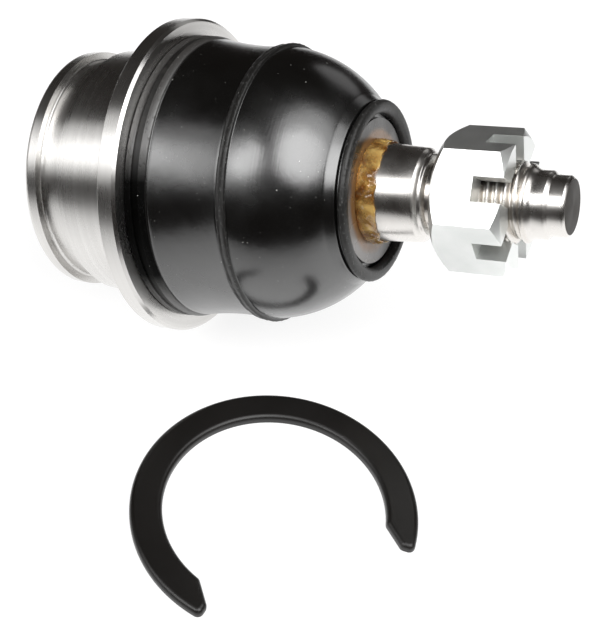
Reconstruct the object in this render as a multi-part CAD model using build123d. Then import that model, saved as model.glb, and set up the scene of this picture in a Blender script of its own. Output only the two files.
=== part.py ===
from build123d import *
import math
import os

# A press-in suspension ball joint, lying on its flange and end lip, with its snap ring beside it.
# Millimetres. The joint is drawn on its own axis: the ball centre is at the origin and the stud
# points along +Z. One placement at the end lays it down with the stud raised above the floor.

# Ball stud
BALL_R = 13.0
BALL_FLAT_DEPTH = 0.8
STUD_NECK_R = 6.5
STUD_NECK_PAST_BALL = 5.0
STUD_FLARE_LENGTH = 9.0
TAPER_LENGTH = 24.1
TAPER_ON_DIAMETER = 0.1
THREAD_R = 7.0
TAPER_END_STEP = 1.2
SHOULDER_LENGTH = 1.6
THREAD_LENGTH = 17.2
THREAD_END_CHAMFER = 0.5
RELIEF_CURVE_LENGTH = 1.4
RELIEF_DEPTH = 1.2
RELIEF_LENGTH = 2.0
PILOT_STEP_LENGTH = 0.45
PILOT_STEP = 0.6
PILOT_LENGTH = 3.0
PILOT_CHAMFER = 0.5

# Bearings, preload spring and cover plate
BEARING_WALL = 2.6
BEARING_OPENING_ANGLE = 56.0
BEARING_HALF_SPLIT_Z = 0.4
BEARING_SPLIT_GAP = 1.2
UPPER_BEARING_LAND = 1.0
UPPER_BEARING_LIP = 0.9
UPPER_BEARING_TAPER = 2.7
LOWER_BEARING_FLOOR = 1.1
GREASE_HOLE_R = 2.0
SPRING_THICKNESS = 0.7
SPRING_CONE = 0.5
SPRING_WIDTH = 10.57
COVER_SEAT_WIDTH = 1.8
COVER_THICKNESS = 1.7
COVER_RIM_WIDTH = 8.4
COVER_DISH_DEPTH = 0.5

# Housing
HOUSING_WALL = 5.2
ROLLED_EDGE = 1.1
ROLLED_EDGE_OVERLAP = 2.4
LIP_LENGTH = 2.5
LIP_STEP = 0.4
LIP_RADIUS = 0.8
GROOVE_WIDTH = 4.5
GROOVE_DEPTH = 2.1
GROOVE_FILLET = 0.5
LAND_LENGTH = 1.1
LAND_STEP = 0.8
LEAD_CHAMFER = 0.4
BARREL_LENGTH = 11.8
BARREL_FILLET = 0.6
FLANGE_WIDTH = 6.3
FLANGE_THICKNESS = 3.45
FLANGE_FRONT_CHAMFER = 0.5
FLANGE_BACK_CHAMFER = 0.2
NECK_STEP = 0.9
NECK_TOP_RADIUS = 0.5
MOUTH_STEP = 0.9
MOUTH_DEPTH = 2.9
MOUTH_FLARE = 2.8

# Dust boot and what is on it
BOOT_WALL = 2.0
BEAD_WALL = 2.1
BEAD_STEP = 0.5
BOOT_RIB = 1.25
BOOT_BASE_NOTCH = 0.35
CLAMP_WIDTH = 1.3
CLAMP_DEPTH = 1.1
CLAMP_SINK = 0.3
SKIRT_HEIGHT = 13.9
SKIRT_WAIST_HEIGHT = 9.4
SKIRT_WAIST_DEPTH = 1.0
SKIRT_TOP_STEP = 0.9
RIDGE_HEIGHT = 0.6
RIDGE_WIDTH = 1.7
DOME_HEIGHT = 15.45
DOME_MIDDLE_HEIGHT = 7.55
DOME_MIDDLE_STEP = 1.95
DOME_END_STEP = 7.9
DOME_RIM_HEIGHT = 1.45
BOOT_NOTCH_DEPTH = 0.7
BOOT_NOTCH_WIDTH = 0.3
BOOT_LIP_HEIGHT = 1.55
BOOT_LIP_WALL = 1.5
BOOT_LIP_BULGE = 0.9
SEAL_HEIGHT = 3.2
WASHER_WIDTH = 3.8
WASHER_GAP = 0.8
WASHER_THICKNESS = 1.0
WASHER_SINK = 1.2
NECK_RING_FROM_TAPER = 2.585
NECK_RING_SECTION_R = 0.7
GREASE_WIDTH = 0.8
GREASE_HEIGHT = 3.4

# Slotted nut
NUT_WALL = 4.0
NUT_HEIGHT = 12.6
NUT_FROM_SHOULDER = 2.6
NUT_SLOT_WIDTH = 4.2
NUT_SLOT_DEPTH = 5.2
NUT_SEAT_STEP = 0.4
NUT_SEAT_CHAMFER_ANGLE = 38.0
NUT_CROWN_STEP = 0.1
NUT_CROWN_CHAMFER_ANGLE = 38.0
NUT_MOUTH_CHAMFER = 0.8
NUT_TURN = 43.5

# Snap ring
RING_GRIP = 0.8
RING_WIDTH = 5.7
RING_THICKNESS = 1.8
RING_TOP_RADIUS = 0.9
RING_BOTTOM_RADIUS = 0.3
RING_CORNER_RADIUS = 1.1
RING_START_ANGLE = 6.0
RING_END_ANGLE = 265.0
RING_TIP_BEVEL_ANGLE = 11.0
RING_TIP_WIDTH = 2.3
RING_AHEAD_OF_FLANGE = 11.7
RING_PAST_FLANGE_SIDE = 10.7

# Fits
BALL_CLEARANCE = 0.05
SEAT_CLEARANCE = 0.03
THREAD_CLEARANCE = 0.05
SOFT_CLEARANCE = 0.3
GREASE_CLEARANCE = 0.1

# Radii that follow from the sizes above, from the ball outwards
SOCKET_R = BALL_R + BALL_CLEARANCE
BEARING_R = BALL_R + BEARING_WALL
COVER_R = BEARING_R + COVER_SEAT_WIDTH
BARREL_R = COVER_R + HOUSING_WALL
FLANGE_R = BARREL_R + FLANGE_WIDTH
LAND_R = BARREL_R - LAND_STEP
GROOVE_R = BARREL_R - GROOVE_DEPTH
LIP_R = BARREL_R - LIP_STEP
NECK_R = BARREL_R + NECK_STEP
UPPER_BEARING_TOP_R = BEARING_R - UPPER_BEARING_TAPER
MOUTH_R = UPPER_BEARING_TOP_R - MOUTH_STEP
MOUTH_FLARE_R = MOUTH_R + MOUTH_FLARE
BEAD_INNER_R = NECK_R + SOFT_CLEARANCE
BEAD_R = BEAD_INNER_R + BEAD_WALL
CLAMP_OUTER_R = BEAD_R - CLAMP_SINK
CLAMP_INNER_R = CLAMP_OUTER_R - CLAMP_DEPTH
SKIRT_BASE_R = BEAD_R - BEAD_STEP
SKIRT_WAIST_R = SKIRT_BASE_R - SKIRT_WAIST_DEPTH
DOME_BASE_R = SKIRT_BASE_R - SKIRT_TOP_STEP
DOME_MIDDLE_R = DOME_BASE_R - DOME_MIDDLE_STEP
DOME_END_R = DOME_BASE_R - DOME_END_STEP
TAPER_END_R = THREAD_R + TAPER_END_STEP
RELIEF_R = THREAD_R - RELIEF_DEPTH
PILOT_R = RELIEF_R - PILOT_STEP
NUT_FLAT_R = THREAD_R + NUT_WALL
NUT_SEAT_R = NUT_FLAT_R - NUT_SEAT_STEP
NUT_CROWN_R = NUT_FLAT_R + NUT_CROWN_STEP
RING_INNER_R = GROOVE_R - RING_GRIP
RING_OUTER_R = RING_INNER_R + RING_WIDTH

# Places along the axis that follow from the sizes above, from the ball to each end
UPPER_BEARING_EDGE_Z = SOCKET_R * math.cos(math.radians(BEARING_OPENING_ANGLE))
UPPER_BEARING_TOP_Z = UPPER_BEARING_EDGE_Z + UPPER_BEARING_LIP
UPPER_BEARING_CONE_Z = BEARING_HALF_SPLIT_Z + UPPER_BEARING_LAND
LOWER_BEARING_TOP_Z = BEARING_HALF_SPLIT_Z - BEARING_SPLIT_GAP
LOWER_BEARING_BOTTOM_Z = -BALL_R - LOWER_BEARING_FLOOR
COVER_TOP_Z = LOWER_BEARING_BOTTOM_Z - SPRING_THICKNESS - SPRING_CONE
COVER_BOTTOM_Z = COVER_TOP_Z - COVER_THICKNESS
REAR_Z = COVER_BOTTOM_Z - ROLLED_EDGE
GROOVE_START_Z = REAR_Z + LIP_LENGTH
GROOVE_END_Z = GROOVE_START_Z + GROOVE_WIDTH
LAND_END_Z = GROOVE_END_Z + LAND_LENGTH
BARREL_START_Z = LAND_END_Z + LEAD_CHAMFER
FLANGE_BACK_Z = BARREL_START_Z + BARREL_LENGTH
FLANGE_FRONT_Z = FLANGE_BACK_Z + FLANGE_THICKNESS
NECK_TOP_Z = UPPER_BEARING_TOP_Z + MOUTH_DEPTH
BOOT_BOTTOM_Z = FLANGE_FRONT_Z + SOFT_CLEARANCE / 2
CLAMP_BOTTOM_Z = BOOT_BOTTOM_Z + BOOT_RIB
CLAMP_TOP_Z = CLAMP_BOTTOM_Z + CLAMP_WIDTH
SKIRT_BASE_Z = CLAMP_TOP_Z + BOOT_RIB + BOOT_BASE_NOTCH
RIDGE_Z = SKIRT_BASE_Z + SKIRT_HEIGHT
DOME_END_Z = RIDGE_Z + DOME_HEIGHT
DOME_RIM_Z = DOME_END_Z + DOME_RIM_HEIGHT
BOOT_LIP_BOTTOM_Z = DOME_RIM_Z + BOOT_NOTCH_WIDTH
BOOT_LIP_TOP_Z = BOOT_LIP_BOTTOM_Z + BOOT_LIP_HEIGHT
WASHER_TOP_Z = BOOT_LIP_TOP_Z - WASHER_SINK
WASHER_BOTTOM_Z = WASHER_TOP_Z - WASHER_THICKNESS
SEAL_BOTTOM_Z = WASHER_BOTTOM_Z - SEAL_HEIGHT
NECK_RING_Z = (SEAL_BOTTOM_Z + WASHER_BOTTOM_Z) / 2
STUD_NECK_END_Z = BALL_R + STUD_NECK_PAST_BALL
TAPER_START_Z = STUD_NECK_END_Z + STUD_FLARE_LENGTH
TAPER_END_Z = TAPER_START_Z + TAPER_LENGTH
THREAD_START_Z = TAPER_END_Z + SHOULDER_LENGTH
THREAD_END_Z = THREAD_START_Z + THREAD_LENGTH
RELIEF_START_Z = THREAD_END_Z + RELIEF_CURVE_LENGTH
RELIEF_END_Z = RELIEF_START_Z + RELIEF_LENGTH
PILOT_START_Z = RELIEF_END_Z + PILOT_STEP_LENGTH
STUD_END_Z = PILOT_START_Z + PILOT_LENGTH
NUT_BOTTOM_Z = THREAD_START_Z + NUT_FROM_SHOULDER

# Radii of the boot's small end, from the stud's taper outwards
WASHER_SEAT_R = TAPER_END_R + (TAPER_END_Z - WASHER_TOP_Z) * TAPER_ON_DIAMETER / 2
WASHER_R = WASHER_SEAT_R + SOFT_CLEARANCE + WASHER_WIDTH
BOOT_MOUTH_R = WASHER_R + WASHER_GAP
BOOT_NOTCH_R = BOOT_MOUTH_R + BOOT_LIP_WALL
DOME_RIM_R = BOOT_NOTCH_R + BOOT_NOTCH_DEPTH
BOOT_LIP_R = BOOT_NOTCH_R + BOOT_LIP_BULGE


def taper_radius(z):
    """Radius of the stud's taper at a height."""
    return TAPER_END_R + (TAPER_END_Z - z) * TAPER_ON_DIAMETER / 2


def turned(*edges):
    """A turned piece: the outline, given as radius and height, goes once round the axis."""
    outline = Plane.XZ * make_face(list(edges))
    return revolve(outline, Axis.Z)


def turned_points(*points):
    """A turned piece with straight edges only."""
    return turned(Polyline(*points, close=True))


def make_ball_stud():
    flat_z = -(BALL_R - BALL_FLAT_DEPTH)
    flat_r = math.sqrt(BALL_R**2 - flat_z**2)
    neck_z = math.sqrt(BALL_R**2 - STUD_NECK_R**2)
    taper_start_r = taper_radius(TAPER_START_Z)
    ball = ThreePointArc((flat_r, flat_z), (BALL_R, 0), (STUD_NECK_R, neck_z))
    flare = Spline(
        (STUD_NECK_R, STUD_NECK_END_Z),
        (taper_start_r, TAPER_START_Z),
        tangents=[(0, 1), (-TAPER_ON_DIAMETER / 2, 1)],
    )
    shoulder = Bezier(
        (TAPER_END_R, TAPER_END_Z), (TAPER_END_R, THREAD_START_Z), (THREAD_R, THREAD_START_Z)
    )
    relief = Spline(
        (THREAD_R - THREAD_END_CHAMFER, THREAD_END_Z),
        (RELIEF_R, RELIEF_START_Z),
        tangents=[(-1, 0.8), (0, 1)],
    )
    end = Polyline(
        (RELIEF_R, RELIEF_START_Z),
        (RELIEF_R, RELIEF_END_Z),
        (PILOT_R, PILOT_START_Z),
        (PILOT_R, STUD_END_Z - PILOT_CHAMFER),
        (PILOT_R - PILOT_CHAMFER, STUD_END_Z),
        (0, STUD_END_Z),
        (0, flat_z),
        (flat_r, flat_z),
    )
    return turned(
        ball,
        Line((STUD_NECK_R, neck_z), (STUD_NECK_R, STUD_NECK_END_Z)),
        flare,
        Line((taper_start_r, TAPER_START_Z), (TAPER_END_R, TAPER_END_Z)),
        shoulder,
        Line((THREAD_R, THREAD_START_Z), (THREAD_R, THREAD_END_Z - THREAD_END_CHAMFER)),
        Line(
            (THREAD_R, THREAD_END_Z - THREAD_END_CHAMFER),
            (THREAD_R - THREAD_END_CHAMFER, THREAD_END_Z),
        ),
        relief,
        end,
    )


def make_housing():
    """The machined body: rolled end lip, ring groove, pressed barrel, flange and boot neck."""
    cavity_r = BEARING_R + SEAT_CLEARANCE
    cover_seat_r = COVER_R + SEAT_CLEARANCE
    body = turned_points(
        (cover_seat_r - ROLLED_EDGE_OVERLAP, REAR_Z),
        (LIP_R, REAR_Z),
        (LIP_R, GROOVE_START_Z),
        (GROOVE_R, GROOVE_START_Z),
        (GROOVE_R, GROOVE_END_Z),
        (LAND_R, GROOVE_END_Z),
        (LAND_R, LAND_END_Z),
        (BARREL_R, BARREL_START_Z),
        (BARREL_R, FLANGE_BACK_Z),
        (FLANGE_R - FLANGE_BACK_CHAMFER, FLANGE_BACK_Z),
        (FLANGE_R, FLANGE_BACK_Z + FLANGE_BACK_CHAMFER),
        (FLANGE_R, FLANGE_FRONT_Z - FLANGE_FRONT_CHAMFER),
        (FLANGE_R - FLANGE_FRONT_CHAMFER, FLANGE_FRONT_Z),
        (NECK_R, FLANGE_FRONT_Z),
        (NECK_R, NECK_TOP_Z),
        (MOUTH_FLARE_R, NECK_TOP_Z),
        (MOUTH_R, UPPER_BEARING_TOP_Z + SEAT_CLEARANCE),
        (UPPER_BEARING_TOP_R + SEAT_CLEARANCE, UPPER_BEARING_TOP_Z + SEAT_CLEARANCE),
        (cavity_r, UPPER_BEARING_CONE_Z + SEAT_CLEARANCE),
        (cavity_r, COVER_TOP_Z),
        (cover_seat_r, COVER_TOP_Z),
        (cover_seat_r, COVER_BOTTOM_Z),
        (cover_seat_r - ROLLED_EDGE_OVERLAP, COVER_BOTTOM_Z),
    )

    def ring_edge(radius, height):
        circles = body.edges().filter_by(GeomType.CIRCLE)
        return [
            edge
            for edge in circles
            if abs(edge.radius - radius) < 1e-4 and abs(edge.arc_center.Z - height) < 1e-4
        ]

    body = fillet(ring_edge(LIP_R, REAR_Z), LIP_RADIUS)
    body = fillet(ring_edge(GROOVE_R, GROOVE_START_Z), GROOVE_FILLET)
    body = fillet(ring_edge(BARREL_R, FLANGE_BACK_Z), BARREL_FILLET)
    return fillet(ring_edge(NECK_R, NECK_TOP_Z), NECK_TOP_RADIUS)


def ball_socket():
    """The sphere that the two bearings are hollowed by."""
    return Sphere(SOCKET_R)


def make_upper_bearing():
    """The ring that holds the ball in from the stud's side, with a flared opening."""
    edge_r = SOCKET_R * math.sin(math.radians(BEARING_OPENING_ANGLE))
    flare_r = edge_r + UPPER_BEARING_LIP
    blank = turned_points(
        (0, BEARING_HALF_SPLIT_Z),
        (BEARING_R, BEARING_HALF_SPLIT_Z),
        (BEARING_R, UPPER_BEARING_CONE_Z),
        (UPPER_BEARING_TOP_R, UPPER_BEARING_TOP_Z),
        (flare_r, UPPER_BEARING_TOP_Z),
        (edge_r, UPPER_BEARING_EDGE_Z),
        (0, UPPER_BEARING_EDGE_Z),
    )
    return blank - ball_socket()


def make_lower_bearing():
    """The cup that the spring presses against the ball, with a grease hole."""
    height = LOWER_BEARING_TOP_Z - LOWER_BEARING_BOTTOM_Z
    cup = Pos(0, 0, LOWER_BEARING_BOTTOM_Z) * Cylinder(
        BEARING_R, height, align=(Align.CENTER, Align.CENTER, Align.MIN)
    )
    grease_hole = Pos(0, 0, LOWER_BEARING_BOTTOM_Z) * Cylinder(GREASE_HOLE_R, 2 * height)
    return cup - ball_socket() - grease_hole


def make_preload_spring():
    """A conical disc spring between the cover plate and the lower bearing."""
    outer_r = BEARING_R - SEAT_CLEARANCE
    inner_r = outer_r - SPRING_WIDTH
    outer_z = COVER_TOP_Z
    inner_z = outer_z + SPRING_CONE
    return turned_points(
        (inner_r, inner_z),
        (outer_r, outer_z),
        (outer_r, outer_z + SPRING_THICKNESS),
        (inner_r, inner_z + SPRING_THICKNESS),
    )


def make_cover_plate():
    """The end plate that the housing's lip is rolled over, dished in its middle."""
    dish_r = COVER_R - COVER_RIM_WIDTH
    return turned_points(
        (0, COVER_BOTTOM_Z + COVER_DISH_DEPTH),
        (dish_r, COVER_BOTTOM_Z + COVER_DISH_DEPTH),
        (dish_r + COVER_DISH_DEPTH, COVER_BOTTOM_Z),
        (COVER_R, COVER_BOTTOM_Z),
        (COVER_R, COVER_TOP_Z),
        (0, COVER_TOP_Z),
    )


def make_dust_boot():
    """The rubber boot: clamped bead, skirt, parting ridge, dome and the lip round the stud."""
    groove_r = CLAMP_INNER_R - SOFT_CLEARANCE / 2
    notch_r = SKIRT_BASE_R - BOOT_BASE_NOTCH
    rib_top_z = SKIRT_BASE_Z - BOOT_BASE_NOTCH
    waist_z = SKIRT_BASE_Z + SKIRT_WAIST_HEIGHT
    dome_middle_z = RIDGE_Z + DOME_MIDDLE_HEIGHT
    ridge_r = DOME_BASE_R + RIDGE_HEIGHT
    ridge_bottom_z = RIDGE_Z - RIDGE_WIDTH / 2
    ridge_top_z = RIDGE_Z + RIDGE_WIDTH / 2
    seal_r = taper_radius(SEAL_BOTTOM_Z) + SOFT_CLEARANCE
    seat_z = WASHER_BOTTOM_Z - SOFT_CLEARANCE / 2
    seal_top_r = taper_radius(seat_z) + SOFT_CLEARANCE
    lip_middle_z = (BOOT_LIP_BOTTOM_Z + BOOT_LIP_TOP_Z) / 2
    inner_dome_r = DOME_END_R - BOOT_WALL
    bead = Polyline(
        (BEAD_INNER_R, BOOT_BOTTOM_Z),
        (BEAD_R, BOOT_BOTTOM_Z),
        (BEAD_R, CLAMP_BOTTOM_Z),
        (groove_r, CLAMP_BOTTOM_Z),
        (groove_r, CLAMP_TOP_Z),
        (BEAD_R, CLAMP_TOP_Z),
        (BEAD_R, rib_top_z),
        (notch_r, rib_top_z),
        (notch_r, SKIRT_BASE_Z),
        (SKIRT_BASE_R, SKIRT_BASE_Z),
    )
    skirt = ThreePointArc(
        (SKIRT_BASE_R, SKIRT_BASE_Z), (SKIRT_WAIST_R, waist_z), (DOME_BASE_R, ridge_bottom_z)
    )
    ridge = Polyline(
        (DOME_BASE_R, ridge_bottom_z),
        (ridge_r, RIDGE_Z - RIDGE_WIDTH / 4),
        (ridge_r, RIDGE_Z + RIDGE_WIDTH / 4),
        (DOME_BASE_R, ridge_top_z),
    )
    dome = ThreePointArc(
        (DOME_BASE_R, ridge_top_z), (DOME_MIDDLE_R, dome_middle_z), (DOME_END_R, DOME_END_Z)
    )
    notch = Polyline(
        (DOME_END_R, DOME_END_Z),
        (DOME_RIM_R, DOME_RIM_Z),
        (BOOT_NOTCH_R, DOME_RIM_Z),
        (BOOT_NOTCH_R, BOOT_LIP_BOTTOM_Z),
    )
    lip = ThreePointArc(
        (BOOT_NOTCH_R, BOOT_LIP_BOTTOM_Z), (BOOT_LIP_R, lip_middle_z), (BOOT_NOTCH_R, BOOT_LIP_TOP_Z)
    )
    mouth = Polyline(
        (BOOT_NOTCH_R, BOOT_LIP_TOP_Z),
        (BOOT_MOUTH_R, BOOT_LIP_TOP_Z),
        (BOOT_MOUTH_R, seat_z),
        (seal_top_r, seat_z),
        (seal_r, SEAL_BOTTOM_Z),
        (inner_dome_r, SEAL_BOTTOM_Z),
    )
    inner_dome = ThreePointArc(
        (inner_dome_r, SEAL_BOTTOM_Z),
        (DOME_MIDDLE_R - BOOT_WALL, dome_middle_z - BOOT_WALL / 2),
        (DOME_BASE_R - BOOT_WALL, RIDGE_Z),
    )
    inner_skirt = Polyline(
        (DOME_BASE_R - BOOT_WALL, RIDGE_Z),
        (DOME_BASE_R - BOOT_WALL, NECK_TOP_Z + BOOT_WALL),
        (BEAD_INNER_R, NECK_TOP_Z + SOFT_CLEARANCE),
        (BEAD_INNER_R, BOOT_BOTTOM_Z),
    )
    boot = turned(bead, skirt, ridge, dome, notch, lip, mouth, inner_dome, inner_skirt)
    return boot - neck_ring(NECK_RING_SECTION_R + SEAT_CLEARANCE)


def neck_ring(section_r):
    """A ring of round section in the boot's seal, as far from the taper as the steel ring is."""
    ring_r = taper_radius(NECK_RING_Z) + NECK_RING_FROM_TAPER
    return Pos(0, 0, NECK_RING_Z) * Torus(ring_r, section_r)


def make_boot_clamp_ring():
    """The flat ring in the bead's groove that holds the boot on the housing's neck."""
    return turned_points(
        (CLAMP_INNER_R, CLAMP_BOTTOM_Z + SEAT_CLEARANCE),
        (CLAMP_OUTER_R, CLAMP_BOTTOM_Z + SEAT_CLEARANCE),
        (CLAMP_OUTER_R, CLAMP_TOP_Z - SEAT_CLEARANCE),
        (CLAMP_INNER_R, CLAMP_TOP_Z - SEAT_CLEARANCE),
    )


def make_boot_neck_ring():
    """The steel ring moulded into the boot's small end, which keeps its seal on the taper."""
    return neck_ring(NECK_RING_SECTION_R)


def make_boot_washer():
    """The flat washer in the boot's mouth that the knuckle bears on."""
    return turned_points(
        (taper_radius(WASHER_BOTTOM_Z) + SOFT_CLEARANCE, WASHER_BOTTOM_Z),
        (WASHER_R, WASHER_BOTTOM_Z),
        (WASHER_R, WASHER_TOP_Z),
        (taper_radius(WASHER_TOP_Z) + SOFT_CLEARANCE, WASHER_TOP_Z),
    )


def make_grease_bead():
    """Grease pressed out of the boot: a fillet between the washer and the stud's taper."""
    top_z = WASHER_TOP_Z + GREASE_HEIGHT
    bottom_r = taper_radius(WASHER_TOP_Z) + GREASE_CLEARANCE
    top_r = taper_radius(top_z) + GREASE_CLEARANCE
    outer_r = bottom_r + GREASE_WIDTH
    bulge = ThreePointArc(
        (outer_r, WASHER_TOP_Z),
        (outer_r - GREASE_WIDTH / 5, WASHER_TOP_Z + GREASE_HEIGHT / 2),
        (top_r + GREASE_WIDTH / 5, top_z),
    )
    rest = Polyline(
        (top_r + GREASE_WIDTH / 5, top_z),
        (top_r, top_z),
        (bottom_r, WASHER_TOP_Z),
        (outer_r, WASHER_TOP_Z),
    )
    return turned(bulge, rest)


def make_castle_nut():
    """The hexagon nut with six slots cut through the middles of its flats."""
    corner_r = NUT_FLAT_R / math.cos(math.radians(30))
    top_z = NUT_BOTTOM_Z + NUT_HEIGHT
    bore_r = THREAD_R + THREAD_CLEARANCE
    hexagon = RegularPolygon(corner_r, side_count=6, rotation=30)
    prism = Pos(0, 0, NUT_BOTTOM_Z) * extrude(hexagon, NUT_HEIGHT)
    seat_rise = (corner_r - NUT_SEAT_R) * math.tan(math.radians(NUT_SEAT_CHAMFER_ANGLE))
    crown_drop = (corner_r - NUT_CROWN_R) * math.tan(math.radians(NUT_CROWN_CHAMFER_ANGLE))
    envelope = turned_points(
        (bore_r + NUT_MOUTH_CHAMFER, NUT_BOTTOM_Z),
        (NUT_SEAT_R, NUT_BOTTOM_Z),
        (corner_r, NUT_BOTTOM_Z + seat_rise),
        (corner_r, top_z - crown_drop),
        (NUT_CROWN_R, top_z),
        (bore_r, top_z),
        (bore_r, NUT_BOTTOM_Z + NUT_MOUTH_CHAMFER),
    )
    nut = prism & envelope
    slot_floor_z = top_z - NUT_SLOT_DEPTH
    for turn in (0, 60, 120):
        slot = Box(
            4 * NUT_FLAT_R,
            NUT_SLOT_WIDTH,
            2 * NUT_SLOT_DEPTH,
            align=(Align.CENTER, Align.CENTER, Align.MIN),
        )
        nut -= Rot(0, 0, turn) * Pos(0, 0, slot_floor_z) * slot
    return Rot(0, 0, NUT_TURN) * nut


def polar(radius, angle):
    """A flat point from its radius and its angle in degrees."""
    return (radius * math.cos(math.radians(angle)), radius * math.sin(math.radians(angle)))


def make_snap_ring():
    """The open ring, flat on the floor plane, with the inner corners of its tips cut away."""
    tip_r = RING_OUTER_R - RING_TIP_WIDTH
    bevel_start = RING_START_ANGLE + RING_TIP_BEVEL_ANGLE
    bevel_end = RING_END_ANGLE - RING_TIP_BEVEL_ANGLE
    middle = (RING_START_ANGLE + RING_END_ANGLE) / 2
    outer = ThreePointArc(
        polar(RING_OUTER_R, RING_START_ANGLE),
        polar(RING_OUTER_R, middle),
        polar(RING_OUTER_R, RING_END_ANGLE),
    )
    inner = ThreePointArc(
        polar(RING_INNER_R, bevel_end), polar(RING_INNER_R, middle), polar(RING_INNER_R, bevel_start)
    )
    far_tip = Polyline(
        polar(RING_OUTER_R, RING_END_ANGLE),
        polar(tip_r, RING_END_ANGLE),
        polar(RING_INNER_R, bevel_end),
    )
    near_tip = Polyline(
        polar(RING_INNER_R, bevel_start),
        polar(tip_r, RING_START_ANGLE),
        polar(RING_OUTER_R, RING_START_ANGLE),
    )
    ring = extrude(make_face([outer, far_tip, inner, near_tip]), RING_THICKNESS)
    ring = fillet(ring.edges().filter_by(Axis.Z), RING_CORNER_RADIUS)
    ring = fillet(ring.edges().group_by(Axis.Z)[-1], RING_TOP_RADIUS)
    return fillet(ring.edges().group_by(Axis.Z)[0], RING_BOTTOM_RADIUS)


def lying_tilt():
    """How far the axis rises when the joint rests on its rounded end lip and its flange, in radians."""
    across = FLANGE_R - (LIP_R - LIP_RADIUS)
    along = FLANGE_BACK_Z + FLANGE_BACK_CHAMFER - (REAR_Z + LIP_RADIUS)
    return math.atan2(across, along) - math.asin(LIP_RADIUS / math.hypot(across, along))


def lying_height(tilt):
    """Height of the ball centre over the floor in that pose."""
    rim_z = FLANGE_BACK_Z + FLANGE_BACK_CHAMFER
    return FLANGE_R * math.cos(tilt) - rim_z * math.sin(tilt)


def main():
    joint = {
        "housing": make_housing(),
        "upper_bearing": make_upper_bearing(),
        "lower_bearing": make_lower_bearing(),
        "preload_spring": make_preload_spring(),
        "cover_plate": make_cover_plate(),
        "ball_stud": make_ball_stud(),
        "dust_boot": make_dust_boot(),
        "boot_clamp_ring": make_boot_clamp_ring(),
        "boot_neck_ring": make_boot_neck_ring(),
        "boot_washer": make_boot_washer(),
        "grease_bead": make_grease_bead(),
        "castle_nut": make_castle_nut(),
    }
    tilt = lying_tilt()
    lay_down = Pos(0, 0, lying_height(tilt)) * Rot(0, 90 - math.degrees(tilt), 0)
    nodes = {name: lay_down * piece for name, piece in joint.items()}
    ring_x = FLANGE_FRONT_Z * math.cos(tilt) + RING_AHEAD_OF_FLANGE + RING_OUTER_R
    ring_y = RING_PAST_FLANGE_SIDE - FLANGE_R - RING_OUTER_R
    nodes["snap_ring"] = Pos(ring_x, ring_y, 0) * make_snap_ring()

    box = Compound(list(nodes.values())).bounding_box()
    centre = Pos(-box.center().X, -box.center().Y, -box.min.Z)
    os.makedirs("parts", exist_ok=True)
    for name, piece in nodes.items():
        export_step(centre * piece, f"parts/{name}.step")
    ball_centre = centre.position + (0, 0, lying_height(tilt))
    print(f"tilt {math.degrees(tilt):.3f} degrees, ball centre at {tuple(ball_centre)}")


main()
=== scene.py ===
# %% [markdown]
# A press-in suspension ball joint and its snap ring, dressed for a studio photograph.
#
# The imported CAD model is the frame: it says where each piece sits and how it moves. This notebook adds
# what a CAD solid doesn't hold, such as a cut thread, softened edges, moulded rubber and smeared grease,
# and gives each piece a finish made of shader nodes.

# %% The frame
import math

import bpy
from mathutils import Matrix, Vector, noise


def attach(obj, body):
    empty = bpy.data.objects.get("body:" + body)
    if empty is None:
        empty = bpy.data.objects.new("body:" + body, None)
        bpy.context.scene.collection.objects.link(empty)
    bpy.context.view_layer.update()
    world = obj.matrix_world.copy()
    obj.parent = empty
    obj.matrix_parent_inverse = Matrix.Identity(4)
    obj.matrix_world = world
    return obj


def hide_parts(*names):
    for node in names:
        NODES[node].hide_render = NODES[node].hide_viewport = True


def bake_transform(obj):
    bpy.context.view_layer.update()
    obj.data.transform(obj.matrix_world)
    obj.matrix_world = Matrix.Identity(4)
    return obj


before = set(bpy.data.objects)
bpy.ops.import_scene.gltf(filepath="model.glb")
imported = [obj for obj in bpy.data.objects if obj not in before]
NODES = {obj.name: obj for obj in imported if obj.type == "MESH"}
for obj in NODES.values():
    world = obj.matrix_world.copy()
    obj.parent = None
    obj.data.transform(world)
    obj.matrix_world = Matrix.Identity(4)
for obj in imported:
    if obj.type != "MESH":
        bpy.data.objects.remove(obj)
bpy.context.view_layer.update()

# %% [markdown]
# The joint lies on its end lip and on the rim of its flange, so its axis rises a little from the floor.
# Everything that turns about that axis is drawn upright, with the ball's centre at the origin, and is then
# laid down by one matrix. That keeps the outlines readable: each point is a radius and a height in
# millimetres.

# %% The joint's own axis
MM = 0.001
BALL_CENTRE = Vector((-25.0886, 19.9434, 26.6115)) * MM
RISE = math.radians(18.66736)
TURN_DOWN = math.pi / 2 - RISE
LAY_DOWN = Matrix.Translation(BALL_CENTRE) @ Matrix.Rotation(TURN_DOWN, 4, "Y")
AXIS = (LAY_DOWN.to_3x3() @ Vector((0, 0, 1))).normalized()


print("axis rises", round(math.degrees(RISE), 2), "degrees")

# %% [markdown]
# The camera looks down over the joint from the front, as the photographer's did. Its place and lens come
# from the circles of the joint and from the floor. Only the direction, the place and the focal length are
# set; the depth of field stays off.

# %% Camera
CAMERA_PLACE = Vector((60.669, -159.319, 203.963)) * MM
CAMERA_RIGHT = Vector((0.91434, 0.39471, 0.09048)).normalized()
CAMERA_UP = Vector((-0.34787, 0.65123, 0.67445)).normalized()
FOCAL_PIXELS = 1399.4
FRAME_HEIGHT_PIXELS = 635
SENSOR = 36.0

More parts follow.
